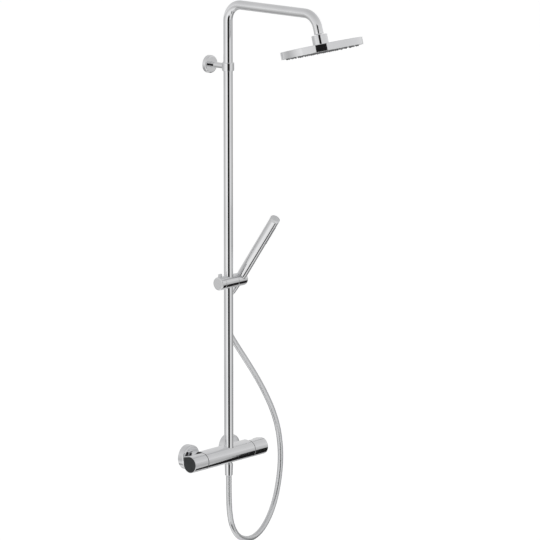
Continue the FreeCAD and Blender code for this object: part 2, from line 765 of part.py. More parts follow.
for row in (-1, 0, 1):
    for i in range(12):
        t = 132.0 + i * 4.6 + (2.3 if row == 0 else 0)
        a = math.radians(row * 13.0)
        radial = LEAN.multVec(Vector(math.sin(a), -math.cos(a), 0))
        p = along(STICK, LEAN, t)
        o = doc.addObject("Part::Cone", "dot_%d_%d" % (row + 1, i))
        bind(o, "Radius1", 0.85)
        bind(o, "Radius2", 0.55)
        bind(o, "Height", 1.0)
        put(
            o,
            tuple(q + (hs + 0.15) * c if abs(c) > 1e-9 else q for q, c in zip(p, radial)),
            Rotation(Vector(0, 0, 1), radial),
        )
        dots.append(o)
node(compound("dots", dots), "handset_nozzles")
cap = turned("stick_cap", [(0, ht - 4), (hs - 2.0, ht - 4), (hs - 2.0, ht), (hs, ht), (hs, ht + 6), (0, ht + 6)], STICK, LEAN)
soften(cap, rim(hs, ht + 6), 2.6)
node(cap, "handset_cap")
node(
    turned("stick_tail", [(4.5, 4), (8.2, 4), (8.2, 17.1), (6.4, 17.1), (6.4, 30), (4.5, 30)], STICK, LEAN),
    "handset_tail",
)
node(turned("stick_washer", [(4.8, 2.05), (8.1, 2.05), (8.1, 3.95), (4.8, 3.95)], STICK, LEAN), "handset_washer")
nut = turned("cone_nut", [(4.5, -nd), (end_r, -nd), (top_r, 16.9), (8.3, 16.9), (8.3, 2), (4.5, 2)], STICK, LEAN)
node(nut, "hose_cone_nut")

# ------------------------------------------------------------------- hose
# The route runs from the cone nut, down beside the riser, out past the right
# end of the bar and back up to the outlet. Points are in the column's frame.
ROUTE = [
    (0.0, 0.0, 0.0),
    (0.0, 0.0, 0.0),
    (53.5, -20.4, 365.4),
    (54.6, -12.6, 334.0),
    (67.0, -13.6, 294.0),
    (94.8, -20.5, 250.5),
    (122.6, -28.6, 208.0),
    (149.6, -36.0, 165.1),
    (174.6, -41.9, 121.3),
    (196.8, -46.6, 75.9),
    (212.6, -49.8, 28.7),
    (220.0, -51.2, -20.3),
    (220.6, -51.0, -66.0),
    (213.8, -50.5, -111.4),
    (199.2, -50.9, -158.0),
    (173.0, -52.5, -199.0),
    (136.5, -55.0, -228.0),
    (95.0, -57.9, -236.5),
    (50.0, -60.6, -222.0),
    (22.5, -62.8, -186.0),
    (12.3, -64.2, -143.0),
    (10.2, -64.8, -101.0),
    (0.0, 0.0, 0.0),
    (0.0, 0.0, 0.0),
]
route = [Vector(*p) for p in ROUTE]
stick_v = Vector(*[q.value for q in STICK])
nut_end = D["nut_drop"].value
route[0] = stick_v - lift * nut_end
route[1] = stick_v - lift * (nut_end + 18)
outlet_v = Vector(RISER_X.value, AXIS_Y.value, -23.0 - D["outlet_nut_length"].value)
route[-1] = outlet_v
route[-2] = outlet_v - Vector(0, 0, 20)
edges, here, radii = [], route[0], []
for a, b, c in zip(route, route[1:], route[2:]):
    u, v = (b - a), (c - b)
    lu, lv = u.Length, v.Length
    u.normalize()
    v.normalize()
    turn = math.acos(max(-1.0, min(1.0, u.dot(v))))
    radius = 0.45 * min(lu, lv) / math.tan(turn / 2)
    radii.append(radius)
    back_off = radius * math.tan(turn / 2)
    p, q = b - u * back_off, b + v * back_off
    inward = v - u
    inward.normalize()
    centre = b + inward * (radius / math.cos(turn / 2))
    to_b = b - centre
    to_b.normalize()
    edges.append(Part.LineSegment(here, p).toShape())
    edges.append(Part.Arc(p, centre + to_b * radius, q).toShape())
    here = q
edges.append(Part.LineSegment(here, route[-1]).toShape())
wire = Part.Wire(edges)
hose_r = D["hose_radius"].value
start_dir = route[1] - route[0]
start_dir.normalize()
ring_edge = Part.makeCircle(hose_r, route[0], start_dir)
tube = wire.makePipeShell([Part.Wire([ring_edge])], True, False)
hose = doc.addObject("Part::Feature", "hose_tube")
hose.Shape = tube
hose.Placement = Placement()
node(hose, "hose")
print("hose radii", [round(r, 1) for r in radii])
print("hose length %.1f" % wire.Length, "smallest radius %.1f" % min(radii))
print("hose volume %.0f" % tube.Volume, "section times length %.0f" % (math.pi * hose_r**2 * wire.Length))

outlet = (RISER_X, AXIS_Y, -23.0)
on, ol = D["outlet_nut_radius"], D["outlet_nut_length"]
b = turned("outlet_nut", [(8.4, 0), (on, 0), (on, 4), (on - 0.9, ol), (4.5, ol), (4.5, 16), (8.4, 16)], outlet, DOWN)
soften(b, lambda e: rim(on, 0)(e) or rim(on - 0.9, ol)(e), 0.6)
node(b, "hose_outlet_nut")
node(turned("nipple", [(5, 0), (8.3, 0), (8.3, 26), (5, 26)], (RISER_X, AXIS_Y, -11.0), DOWN), "outlet_nipple")
node(turned("nipple_washer", [(4.8, 0), (8.2, 0), (8.2, 1.8), (4.8, 1.8)], (RISER_X, AXIS_Y, -37.1), DOWN), "outlet_washer")

# --------------------------------------------------------------- rain head
# Everything here is measured down the head's axis from the corner of the arm.
br, bc = D["ball_radius"], D["ball_centre"]
stud = fuse(
    "stud_solid",
    [
        ball("stud_ball", br, along(CORNER, HEAD, bc)),
        cyl("stud_neck", 6.5, 8.0, along(CORNER, HEAD, 47.0), HEAD),
        cyl("stud_thread", 9.9, 11.9, along(CORNER, HEAD, 36.0), HEAD),
    ],
)
node(cut("stud", stud, [cyl("stud_bore", 4.0, 42.0, along(CORNER, HEAD, 34.0), HEAD)]), "head_ball_stud")
node(turned("restrictor", [(1.5, 39), (3.9, 39), (3.9, 43), (1.5, 43)], CORNER, HEAD), "head_flow_restrictor")
for label, r_in, r_out in (("head_seat_ring", 12.15, 13.2), ("head_slip_ring", 13.4, 14.6)):
    whole = cut(
        label + "_shell",
        ball(label + "_out", r_out, along(CORNER, HEAD, bc)),
        [ball(label + "_in", r_in, along(CORNER, HEAD, bc))],
    )
    slab = cyl(label + "_slab", 20.0, 8.0, along(CORNER, HEAD, bc - 3), HEAD)
    node(common(label + "_band", whole, slab), label)
cr = D["collar_radius"]
b = turned(
    "collar",
    [(9.9, 54.5), (cr - 1.3, 49.5), (cr, 49.5), (cr, 73.3), (16.0, 73.3), (16.0, 55.0), (9.9, 55.0)],
    CORNER,
    HEAD,
)
soften(b, rim(cr, 49.5), 0.6)
node(b, "head_collar")
hr, h0, hk = D["head_radius"], D["head_start"], D["head_thickness"]
b = turned(
    "shell",
    [(8, h0 - 1.5), (15.8, h0 - 1.5), (15.8, h0), (hr, h0), (hr, h0 + hk), (hr - 1.6, h0 + hk), (hr - 1.6, h0 + 1.6), (8, h0 + 1.6)],
    CORNER,
    HEAD,
)
soften(b, lambda e: rim(hr, h0)(e) or rim(hr, h0 + hk)(e), 0.7)
node(b, "head_shell")


def nozzle_rings(body, build):
    """Repeats one round feature per ring round the head's axis."""
    for k in range(1, 7):
        f = build(k, D["nozzle_pitch"] * k - 3)
        doc.recompute()
        pat = body.newObject("PartDesign::PolarPattern", "%s_ring_%d" % (body.Name, k))
        pat.Originals = [f]
        pat.Axis = (plane_axis(body), [""])
        pat.Angle = 360
        pat.Occurrences = 6 * k
        body.Tip = pat
        doc.recompute()


def plane_axis(body):
    return [f for f in body.Origin.OriginFeatures if f.Role == "Z_Axis"][0]


face = body_named("face_plate")
s = sketch_on(face, "face_outline", "XY_Plane", h0 + hk - 3.0)
circle(s, hr - 1.75)
circle(s, D["nozzle_radius"] + 0.12)
pad(face, s, 2.7, "face_pad")


def face_hole(k, r):
    s = sketch_on(face, "face_hole_sketch_%d" % k, "XY_Plane", h0 + hk)
    circle(s, D["nozzle_radius"] + 0.12, r, 0)
    f = face.newObject("PartDesign::Pocket", "face_hole_%d" % k)
    f.Profile = s
    f.Length = 6
    return f


nozzle_rings(face, face_hole)
put(face, CORNER, HEAD)
node(face, "head_spray_plate")

mat = body_named("mat")
s = sketch_on(mat, "mat_outline", "XY_Plane", h0 + hk - 4.7)
circle(s, hr - 5)
pad(mat, s, 1.6, "mat_pad")
s = sketch_on(mat, "nub_0_sketch", "XY_Plane", h0 + hk - 3.2)
circle(s, D["nozzle_radius"])
pad(mat, s, 5.6, "nub_0")


def nub(k, r):
    s = sketch_on(mat, "nub_sketch_%d" % k, "XY_Plane", h0 + hk - 3.2)
    circle(s, D["nozzle_radius"], r, 0)
    return pad(mat, s, 5.6, "nub_%d" % k)


nozzle_rings(mat, nub)
put(mat, CORNER, HEAD)
node(mat, "head_nozzle_mat")

# ------------------------------------------------------------ check and write
doc.recompute()
bad = [o.Name for o in doc.Objects if "Invalid" in o.State or "Error" in o.State]
for label, o in nodes.items():
    if o.Shape.isNull() or not o.Shape.isValid() or not o.Shape.Solids:
        bad.append(label)
if bad:
    raise SystemExit("failed: " + ", ".join(bad))
os.makedirs("parts", exist_ok=True)
for label, o in nodes.items():
    o.Shape.exportStep("parts/%s.step" % label)
print(len(nodes), "nodes written")
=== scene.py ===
import json
import math

import bmesh
import bpy
import numpy as np
from mathutils import Matrix, Vector


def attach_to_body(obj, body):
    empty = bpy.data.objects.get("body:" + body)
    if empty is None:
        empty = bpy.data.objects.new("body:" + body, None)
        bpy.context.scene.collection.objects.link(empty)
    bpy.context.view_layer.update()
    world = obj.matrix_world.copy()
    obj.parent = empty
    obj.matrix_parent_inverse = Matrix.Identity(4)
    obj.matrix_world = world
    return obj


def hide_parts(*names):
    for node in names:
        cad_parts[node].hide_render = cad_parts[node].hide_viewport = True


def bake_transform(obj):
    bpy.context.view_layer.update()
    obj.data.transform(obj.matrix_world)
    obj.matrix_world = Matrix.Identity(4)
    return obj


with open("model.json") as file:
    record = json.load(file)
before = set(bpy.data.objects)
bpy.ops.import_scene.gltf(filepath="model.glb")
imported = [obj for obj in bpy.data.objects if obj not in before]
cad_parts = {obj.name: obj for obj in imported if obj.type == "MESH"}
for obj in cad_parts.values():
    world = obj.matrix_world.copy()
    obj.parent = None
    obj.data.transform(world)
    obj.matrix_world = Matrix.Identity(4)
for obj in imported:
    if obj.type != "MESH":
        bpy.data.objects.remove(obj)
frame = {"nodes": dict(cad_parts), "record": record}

scene = bpy.context.scene
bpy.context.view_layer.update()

# The row frame: metres, origin on the wall midway between the inlets, -Y out
# into the room, +Z up. Helpers below take millimetres.
MM = 0.001
AX, AY = 10.0, -65.0
SLIDER_Z = 437.0
LEAN, DROP = math.radians(35.3), math.radians(15.0)
STICK = (50.0, AY, SLIDER_Z)
CORNER = (AX, AY - 279.0, 1127.0)
ROT = {
    "up": Matrix.Identity(4),
    "out": Matrix.Rotation(math.radians(90), 4, "X"),
    "right": Matrix.Rotation(math.radians(90), 4, "Y"),
    "left": Matrix.Rotation(math.radians(-90), 4, "Y"),
    "down": Matrix.Rotation(math.radians(180), 4, "X"),
    "lean": Matrix.Rotation(LEAN, 4, "X"),
    "head": Matrix.Rotation(math.pi - DROP, 4, "X"),
}


def place(base, turn):
    b = Vector(base) * MM
    return Matrix.Translation(b) @ ROT[turn]


# ------------------------------------------------------------- camera first
cam_data = bpy.data.cameras.new("camera")
cam = bpy.data.objects.new("camera", cam_data)
scene.collection.objects.link(cam)
a, e = math.radians(-48.70), math.radians(11.63)
back = Vector((math.sin(a) * math.cos(e), -math.cos(a) * math.cos(e), math.sin(e)))
right = Vector((math.cos(a), math.sin(a), 0))
up = back.cross(right)
cam.location = Vector((0.010, -0.070, 0.540)) + back * 11.1849 + right * 0.0983 + up * -0.0717
cam.rotation_mode = "QUATERNION"
cam.rotation_quaternion = Matrix((right, up, back)).transposed().to_quaternion()
cam_data.sensor_width = 36.0
cam_data.lens = 4560.0 / 540.0 * 36.0
cam_data.clip_start, cam_data.clip_end = 0.1, 100.0
scene.camera = cam
scene.view_settings.view_transform = "Standard"
scene.view_settings.look = "None"


# ---------------------------------------------------------------- materials
def material(name):
    m = bpy.data.materials.new(name)
    m.use_nodes = True
    nt = m.node_tree
    nt.nodes.clear()
    out = nt.nodes.new("ShaderNodeOutputMaterial")
    p = nt.nodes.new("ShaderNodeBsdfPrincipled")
    nt.links.new(p.outputs[0], out.inputs[0])
    return m, nt, p


def noise(nt, scale, detail=3.0, rough=0.5, stretch=None):
    tc = nt.nodes.new("ShaderNodeTexCoord")
    n = nt.nodes.new("ShaderNodeTexNoise")
    n.inputs["Scale"].default_value = scale
    n.inputs["Detail"].default_value = detail
    n.inputs["Roughness"].default_value = rough
    if stretch:
        mp = nt.nodes.new("ShaderNodeMapping")
        mp.inputs["Scale"].default_value = stretch
        nt.links.new(tc.outputs["Object"], mp.inputs["Vector"])
        nt.links.new(mp.outputs["Vector"], n.inputs["Vector"])
    else:
        nt.links.new(tc.outputs["Object"], n.inputs["Vector"])
    return n.outputs["Fac"]


def ranged(nt, value, lo, hi, frm=(0.3, 0.7)):
    r = nt.nodes.new("ShaderNodeMapRange")
    r.inputs["From Min"].default_value, r.inputs["From Max"].default_value = frm
    r.inputs["To Min"].default_value, r.inputs["To Max"].default_value = lo, hi
    nt.links.new(value, r.inputs["Value"])
    return r.outputs["Result"]


def blend_colour(nt, value, c1, c2, frm=(0.35, 0.65)):
    ramp = nt.nodes.new("ShaderNodeValToRGB")
    ramp.color_ramp.elements[0].position, ramp.color_ramp.elements[1].position = frm
    ramp.color_ramp.elements[0].color = (*c1, 1)
    ramp.color_ramp.elements[1].color = (*c2, 1)
    nt.links.new(value, ramp.inputs["Fac"])
    return ramp.outputs["Color"]


def bump(nt, p, value, strength, distance):
    b = nt.nodes.new("ShaderNodeBump")
    b.inputs["Strength"].default_value = strength
    b.inputs["Distance"].default_value = distance
    nt.links.new(value, b.inputs["Height"])
    nt.links.new(b.outputs["Normal"], p.inputs["Normal"])


def metal(name, c1, c2, rough, blotch=14.0, grain=None, bumpy=0.0):
    m, nt, p = material(name)
    p.inputs["Metallic"].default_value = 1.0
    nt.links.new(blend_colour(nt, noise(nt, blotch, 4), c1, c2), p.inputs["Base Color"])
    nt.links.new(ranged(nt, noise(nt, blotch * 2.3, 6, 0.6), *rough), p.inputs["Roughness"])
    if bumpy:
        bump(nt, p, noise(nt, grain[0], 2, 0.5, grain[1]), bumpy, 0.0002)
    return m


def plastic(name, c1, c2, rough, grain=900.0, bumpy=0.15, spec=0.5):
    m, nt, p = material(name)
    p.inputs["Specular IOR Level"].default_value = spec
    nt.links.new(blend_colour(nt, noise(nt, 60, 5), c1, c2), p.inputs["Base Color"])
    nt.links.new(ranged(nt, noise(nt, 130, 4), *rough), p.inputs["Roughness"])
    bump(nt, p, noise(nt, grain, 3), bumpy, 0.0002)
    return m


CHROME = metal("chrome", (0.80, 0.805, 0.815), (0.86, 0.862, 0.868), (0.035, 0.075), 9.0, (320.0, None), 0.010)
CHROME_TUBE = metal("chrome_tube", (0.80, 0.805, 0.815), (0.86, 0.862, 0.868), (0.03, 0.07), 7.0, (260.0, (1, 1, 0.05)), 0.012)
SATIN = metal("satin_chrome", (0.74, 0.745, 0.75), (0.80, 0.80, 0.81), (0.16, 0.26), 22.0, (700.0, None), 0.05)
BRASS = metal("brass", (0.55, 0.42, 0.20), (0.66, 0.52, 0.27), (0.22, 0.36), 40.0, (900.0, (1, 8, 1)), 0.15)
STEEL = metal("steel", (0.50, 0.50, 0.51), (0.60, 0.60, 0.61), (0.22, 0.38), 50.0, (1100.0, None), 0.12)
DARK = plastic("dark_insert", (0.015, 0.017, 0.018), (0.026, 0.028, 0.029), (0.34, 0.48), 1400.0, 0.10, 0.35)
# painted shade: near-black on the chrome faces inside the narrow gaps between the bar and the handles, in place of the
# shade that falls in those gaps
SEAM_SHADE = plastic("painted_seam_shade", (0.010, 0.010, 0.010), (0.02, 0.02, 0.02), (0.6, 0.8), 900.0, 0.1)
GREY = plastic("grey_plastic", (0.50, 0.505, 0.51), (0.57, 0.575, 0.58), (0.30, 0.42), 1100.0, 0.12)
WHITE = plastic("white_plastic", (0.70, 0.70, 0.68), (0.78, 0.78, 0.76), (0.4, 0.5))
RUBBER = plastic("grey_silicone", (0.075, 0.077, 0.08), (0.11, 0.112, 0.115), (0.5, 0.62), 900.0, 0.2)
BLACK = plastic("black_rubber", (0.012, 0.012, 0.012), (0.022, 0.022, 0.022), (0.55, 0.7))


def hose_material():
    """Silver sleeve: a fine helical wrap, hardly visible, under a clear glossy skin, laid out by the UVs."""
    m, nt, p = material("silver_hose")
    p.inputs["Metallic"].default_value = 0.80
    uv = nt.nodes.new("ShaderNodeUVMap")
    mp = nt.nodes.new("ShaderNodeMapping")
    mp.inputs["Rotation"].default_value = (0, 0, math.radians(24))
    nt.links.new(uv.outputs["UV"], mp.inputs["Vector"])
    w = nt.nodes.new("ShaderNodeTexWave")
    w.wave_type, w.bands_direction = "BANDS", "Y"
    w.inputs["Scale"].default_value = 150.0
    w.inputs["Distortion"].default_value = 0.3
    nt.links.new(mp.outputs["Vector"], w.inputs["Vector"])
    nt.links.new(blend_colour(nt, w.outputs["Fac"], (0.66, 0.666, 0.675), (0.69, 0.695, 0.703), (0.1, 0.9)), p.inputs["Base Color"])
    nt.links.new(ranged(nt, noise(nt, 45, 3), 0.17, 0.23), p.inputs["Roughness"])
    p.inputs["Coat Weight"].default_value = 0.5
    p.inputs["Coat Roughness"].default_value = 0.06
    return m


HOSE = hose_material()

SLOT_MAT = {
    "chrome": CHROME, "brass": BRASS, "steel": STEEL, "black_rubber": BLACK,
    "grey_rubber": RUBBER, "dark_insert": DARK, "white_plastic": WHITE,
    "grey_plastic": GREY, "silver_hose": HOSE,
}


# ------------------------------------------------------------ mesh helpers
def finish_mesh(name, verts, faces, mat, sharp=32.0, uv=None):
    me = bpy.data.meshes.new(name)
    me.from_pydata([tuple(v) for v in verts], [], faces)
    me.validate()
    bm = bmesh.new()
    bm.from_mesh(me)
    bmesh.ops.recalc_face_normals(bm, faces=bm.faces)
    bm.to_mesh(me)
    bm.free()
    me.polygons.foreach_set("use_smooth", [True] * len(me.polygons))
    me.set_sharp_from_angle(angle=math.radians(sharp))
    ob = bpy.data.objects.new(name, me)
    scene.collection.objects.link(ob)
    me.materials.append(mat)
    return ob


def attach(ob, body, replaces=()):
    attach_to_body(ob, body)
    if replaces:
        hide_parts(*replaces)
    return ob


def rounded(points, closed):
    """points are (x, y) or (x, y, radius); each corner with a radius becomes an arc."""
    out, n = [], len(points)
    for i, p in enumerate(points):
        r = p[2] if len(p) > 2 else 0.0
        if not r or (not closed and i in (0, n - 1)):
            out.append((p[0], p[1]))
            continue
        a, b, c = (Vector(points[(i + k) % n][:2]) for k in (-1, 0, 1))
        u, v = (a - b), (c - b)
        lu, lv = u.length, v.length
        u.normalize(), v.normalize()
        half = u.angle(v) / 2
        back_off = min(r / math.tan(half), lu * 0.49, lv * 0.49)
        rr = back_off * math.tan(half)
        centre = b + (u + v).normalized() * (rr / math.sin(half))
        p0, p1 = b + u * back_off, b + v * back_off
        a0 = math.atan2(*(p0 - centre).yx)
        a1 = math.atan2(*(p1 - centre).yx)
        d = (a1 - a0 + math.pi) % (2 * math.pi) - math.pi
        steps = max(2, int(abs(d) / math.radians(15)))
        for k in range(steps + 1):
            t = a0 + d * k / steps
            out.append((centre.x + rr * math.cos(t), centre.y + rr * math.sin(t)))
    return out


def supported(prof, closed):
    """Adds a point just inside both ends of each long run, so that its shading stays flat."""
    out, n = [], len(prof)
    for i in range(n if closed else n - 1):
        a, b = Vector(prof[i]), Vector(prof[(i + 1) % n])
        out.append(tuple(a))
        if (b - a).length > 1.2:
            d = (b - a).normalized() * 0.2
            out += [tuple(a + d), tuple(b - d)]
    if not closed:
        out.append(tuple(prof[-1]))
    return out


def lathe_data(profile, seg, closed):
    prof = supported(rounded(profile, closed), closed)
    verts, rings = [], []
    for r, z in prof:
        if r < 1e-6:
            rings.append([len(verts)])
            verts.append((0.0, 0.0, z))
        else:
            rings.append(list(range(len(verts), len(verts) + seg)))
            for k in range(seg):
                t = 2 * math.pi * k / seg
                verts.append((r * math.cos(t), r * math.sin(t), z))
    faces = []
    pairs = list(zip(rings, rings[1:])) + ([(rings[-1], rings[0])] if closed else [])
    for a, b in pairs:
        for k in range(seg):
            k2 = (k + 1) % seg
            if len(a) == 1 and len(b) == 1:
                break
            if len(a) == 1:
                faces.append((a[0], b[k], b[k2]))
            elif len(b) == 1:
                faces.append((a[k], b[0], a[k2]))
            else:
                faces.append((a[k], b[k], b[k2], a[k2]))
    return verts, faces


def lathe(name, profile, base, turn, mat, seg=96, closed=None, sharp=32.0):
    """profile: (radius, height[, corner radius]) in mm. Open if it starts and ends on the axis."""
    if closed is None:
        closed = not (profile[0][0] == 0 and profile[-1][0] == 0)
    v, f = lathe_data(profile, seg, closed)
    m = place(base, turn)
    return finish_mesh(name, [m @ (Vector(p) * MM) for p in v], f, mat, sharp)


def prism(name, outline, base, turn, height, mat, sharp=32.0, lift=0.0):
    """A straight prism of a closed outline (mm) along local Z."""
    n = len(outline)
    m = place(base, turn)
    v = [m @ (Vector((x, y, z)) * MM) for z in (lift, lift + height) for x, y in outline]
    f = [tuple(range(n))[::-1], tuple(range(n, 2 * n))]
    f += [(i, (i + 1) % n, n + (i + 1) % n, n + i) for i in range(n)]
    return finish_mesh(name, v, f, mat, sharp)


def loft(name, rings, mat, cap_start=True, cap_end=True, sharp=32.0):
    """rings: lists of world points (m), all with the same count."""
    n = len(rings[0])
    v = [p for r in rings for p in r]
    f = []
    for i in range(len(rings) - 1):
        for k in range(n):
            k2 = (k + 1) % n
            f.append((i * n + k, i * n + k2, (i + 1) * n + k2, (i + 1) * n + k))
    if cap_start:
        f.append(tuple(range(n))[::-1])
    if cap_end:
        f.append(tuple(range((len(rings) - 1) * n, len(rings) * n)))
    return finish_mesh(name, v, f, mat, sharp)


def boolean(ob, cutters, kind="DIFFERENCE", sharp=32.0):
    for c in cutters:
        mod = ob.modifiers.new("cut", "BOOLEAN")
        mod.operation, mod.solver, mod.object = kind, "EXACT", c
    dg = bpy.context.evaluated_depsgraph_get()
    me = bpy.data.meshes.new_from_object(ob.evaluated_get(dg))
    ob.modifiers.clear()
    ob.data = me
    me.polygons.foreach_set("use_smooth", [True] * len(me.polygons))
    me.set_sharp_from_angle(angle=math.radians(sharp))
    for c in cutters:
        bpy.data.objects.remove(c)
    return ob


# ------------------------------------------------------------- mixer body
def arc_pts(cx, cy, r, a0, a1, n):
    return [(cx + r * math.cos(a0 + (a1 - a0) * i / n), cy + r * math.sin(a0 + (a1 - a0) * i / n)) for i in range(n + 1)]


def body_section():
    """(depth towards the wall, height) round the bar, counter-clockwise, mm."""
    top = math.atan2(20.69, -3.6)
    low = math.atan2(-16.0, 13.6)
    pts = arc_pts(0, 0, 21.0, top, low + 2 * math.pi, 90)[:-1]
    pts += [(13.6, -16.0)]
    pts += arc_pts(18, -10, 6.0, -math.pi / 2, 0, 8)
    pts += arc_pts(11, 9.5, 13.0, 0, math.pi / 2, 14)
    pts += [(9.0, 22.5), (2.7, 21.6)]
    return pts


SECTION = body_section()


def inset_section(pts, d):
    n, out = len(pts), []
    for i in range(n):
        a, b, c = (Vector(pts[(i + k) % n]) for k in (-1, 0, 1))
        t = ((b - a).normalized() + (c - b).normalized()).normalized()
        out.append((b.x - t.y * d, b.y + t.x * d))
    return out


def bar_ring(x, inset):
    s = inset_section(SECTION, inset) if inset else SECTION
    return [Vector((x, AY + y, z)) * MM for y, z in s]


stations = []
for x, d in ((0, 0.4), (0.05, 0.22), (0.15, 0.08), (0.4, 0.0), (0.6, 0.0), (6, 0.0), (30, 0.0)):
    stations.append((-86 + x, d))
stations += [(x, 0.0) for x in (-30, -12, -3, 10, 23, 32, 44)] + [(-x, d) for x, d in reversed(stations)]
mixer = loft("mixer_shell", [bar_ring(x, d) for x, d in stations], CHROME, sharp=38)
mixer = boolean(
    mixer,
    [
        lathe("c1", [(0, 0), (11.75, 0), (11.75, 20), (0, 20)], (AX, AY, 8.0), "up", CHROME, 72),
        lathe("c2", [(0, 0), (8.35, 0), (8.35, 20), (0, 20)], (AX, AY, -11.0), "down", CHROME, 72),
    ],
    sharp=38,
)
# painted shade: the bar's end faces and end bevels, inside the gaps to the handles, take the near-black painted seam
# shade
mixer.data.materials.append(SEAM_SHADE)
for poly in mixer.data.polygons:
    if abs(poly.center.x) > 0.0857 and (poly.center.y - AY * MM) ** 2 + poly.center.z ** 2 < 0.0228 ** 2:
        poly.material_index = 1
attach(mixer, "column", ["mixer_body"])
for side, sx in (("left", -75.0), ("right", 75.0)):
    attach(
        lathe("inlet_spigot_" + side, [(7, 0), (11.4, 0), (11.4, 9.2), (7, 9.2)], (sx, -32.2, 0), "out", CHROME, 72),
        "column",
    )

# ------------------------------------------------------------ handles
LOBE = math.radians(39.0)


def leaf(reach, inset, n=144):
    """Round section with one pointed lobe, as (depth, height) mm."""
    alpha = math.acos(21.0 / max(reach, 21.0001))
    th = [2 * math.pi * k / n + LOBE for k in range(n)]
    rr = []
    for t in th:
        d = abs((t - LOBE + math.pi) % (2 * math.pi) - math.pi)
        rr.append(21.0 / math.cos(alpha - d) if d < alpha else 21.0)
    rr = np.array(rr)
    if reach > 21.5:
        k = np.array([0.25, 0.5, 0.25])
        for _ in range(3):
            rr = np.convolve(np.concatenate([rr[-1:], rr, rr[:1]]), k, "valid")
    rr = np.array(rr) - inset
    return [(r * math.cos(t), r * math.sin(t)) for r, t in zip(rr, th)]


def smooth01(x):
    x = max(0.0, min(1.0, x))
    return x * x * (3 - 2 * x)


for kind, sign, body in (("temperature", -1, "temperature_grip"), ("diverter", 1, "diverter_grip")):
    def ring(t, inset, reach=None):
        if reach is None:
            reach = 21.0 + 6.0 * smooth01((t - 24.0) / 13.0)
        return [Vector((sign * (86.8 + t), AY + y, z)) * MM for y, z in leaf(reach, inset)]

    rings = [ring(4.0, 4.0, 21.0), ring(0.0, 4.0, 21.0), ring(0.0, 0.7, 21.0), ring(0.12, 0.35, 21.0), ring(0.4, 0.08, 21.0), ring(0.7, 0.0, 21.0), ring(0.9, 0.0, 21.0), ring(10, 0, 21.0)]
    rings += [ring(t, 0.0) for t in np.linspace(23.0, 38.0, 16)]
    rings += [ring(44.0, 0.0), ring(46.2, 0.0), ring(46.4, 0.0), ring(46.8, 0.08), ring(47.05, 0.28), ring(47.2, 0.6), ring(47.2, 1.25), ring(47.1, 1.4), ring(45.8, 1.4)]
    grip = loft(kind + "_grip", rings, CHROME, sharp=40)
    # painted shade: the grip's end face and bevel facing the bar take the near-black painted seam shade
    grip.data.materials.append(SEAM_SHADE)
    for poly in grip.data.polygons:
        if abs(poly.center.x) < 0.0871:
            poly.material_index = 1
    attach(grip, body, [kind + "_handle"])
    badge = loft(
        kind + "_leaf",
        [ring(45.82, 1.5), ring(46.8, 1.5), ring(46.98, 1.6), ring(47.06, 1.8), ring(47.08, 2.2)],
        DARK,
        sharp=40,
    )
    attach(badge, body, [kind + "_insert"])

# ------------------------------------------------------- wall connections
for side, sx in (("left", -75.0), ("right", 75.0)):
    attach(
        lathe(
            "rosette_" + side,
            [(29.6, 0), (31.0, 0, 0.2), (31.0, 19.0, 5.0), (12.7, 19.0, 0.4), (12.7, 17.6), (26.0, 17.6, 3.0), (29.6, 14.0, 1.0)],
            (sx, 0, 0),
            "out",
            CHROME,
            128,
        ),
        "column",
        ["escutcheon_" + side],
    )
    rr = 15.0 / math.cos(math.radians(30))
    hexa = prism("union_hex_" + side, [(rr * math.cos(math.radians(60 * k)), rr * math.sin(math.radians(60 * k))) for k in range(6)], (sx, -21.5, 0), "out", 16.0, CHROME)
    turned = lathe("cone", [(0, -0.5), (15.2, -0.5), (15.6, 0.0), (17.6, 1.3), (17.6, 14.7), (15.6, 16.0), (15.2, 16.5), (0, 16.5)], (sx, -21.5, 0), "out", CHROME, 96)
    bored = lathe("bore", [(0, -1), (13.35, -1), (13.35, 14), (11.65, 14), (11.65, 17), (0, 17)], (sx, -21.5, 0), "out", CHROME, 72)
    boolean(hexa, [turned], "INTERSECT", 25)
    boolean(hexa, [bored], "DIFFERENCE", 25)
    attach(hexa, "column", ["union_nut_" + side])

# ------------------------------------------------------- riser, arm, bracket
attach(
    lathe("riser", [(10.0, 10.3), (11.5, 10.3), (11.5, 330), (11.5, 650), (11.5, 970.0), (10.0, 970.0)], (AX, AY, 0), "up", CHROME_TUBE, 128),
    "column",
    ["riser_tube"],
)


def sweep(name, path, radius, seg, mat, bore=None, sharp=40.0, end_round=0.4):
    """path: world points (mm) in one plane parallel to YZ."""
    pts = [Vector(p) for p in path]
    rings = []
    tangents = []
    for i in range(len(pts)):
        t = (pts[min(i + 1, len(pts) - 1)] - pts[max(i - 1, 0)]).normalized()
        tangents.append(t)
    side = Vector((1, 0, 0))

    def ring(c, t, r):
        nrm = t.cross(side).normalized()
        return [(c + side * (r * math.cos(q)) + nrm * (r * math.sin(q))) * MM for q in (2 * math.pi * k / seg for k in range(seg))]

    first, last = pts[0], pts[-1]
    if bore:
        rings.append(ring(first + tangents[0] * 6, tangents[0], bore))
        rings.append(ring(first, tangents[0], bore))
    rings += [ring(c, t, radius) for c, t in zip(pts[:-1], tangents[:-1])]
    rings.append(ring(last - tangents[-1] * end_round, tangents[-1], radius))
    rings.append(ring(last - tangents[-1] * end_round * 0.3, tangents[-1], radius - end_round * 0.3))
    rings.append(ring(last, tangents[-1], radius - end_round))
    if bore:
        rings.append(ring(last, tangents[-1], bore))
        rings.append(ring(last - tangents[-1] * 6, tangents[-1], bore))
    return loft(name, rings, mat, True, True, sharp)


